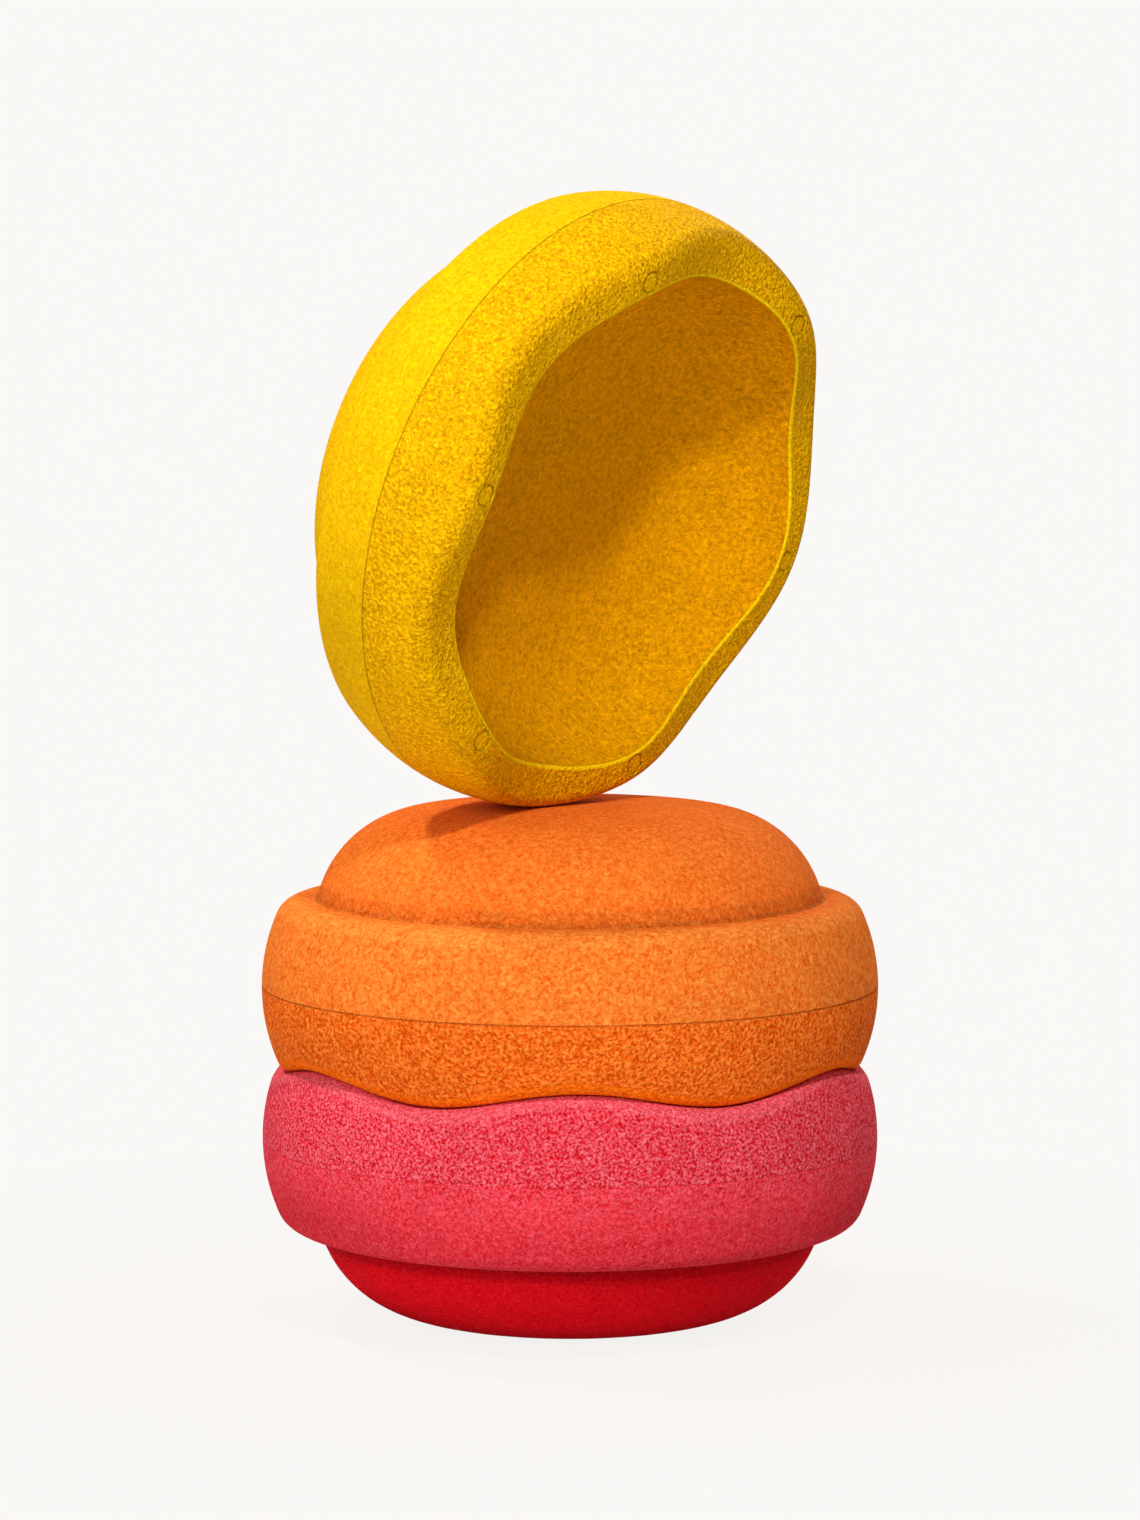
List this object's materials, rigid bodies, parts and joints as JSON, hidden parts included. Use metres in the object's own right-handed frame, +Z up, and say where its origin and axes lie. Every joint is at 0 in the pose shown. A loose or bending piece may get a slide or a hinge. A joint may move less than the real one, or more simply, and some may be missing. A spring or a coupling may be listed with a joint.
{
  "type": "stack of balance stepping stones",
  "caption": "Round foam balance stones for children, each with a broad dome, ledge, wavy rim and open bowl, stacked as a tower with the top stone tilted on its rim.",
  "frame": {"origin": "on the floor, below the middle of the lowest stone's dome", "axes": "+Z up through the tower; the picture is taken from the -Y side, with +X to its right"},
  "size_m": [0.2752, 0.2952, 0.5019],
  "materials": {
    "red_foam": "matte",
    "orange_foam": "matte",
    "yellow_foam": "matte"
  },
  "bodies": {
    "red": {"red_stone": "red_foam"},
    "orange": {"orange_stone": "orange_foam"},
    "yellow": {"yellow_stone": "yellow_foam"}
  },
  "joints": [
    {"name": "orange_lift", "type": "slide", "parent": "red", "child": "orange", "axis": [0, 0, 1], "range_m": [0, 0.15]},
    {"name": "yellow_lift", "type": "slide", "parent": "orange", "child": "yellow", "axis": [0, 0, 1], "range_m": [0, 0.15]}
  ]
}
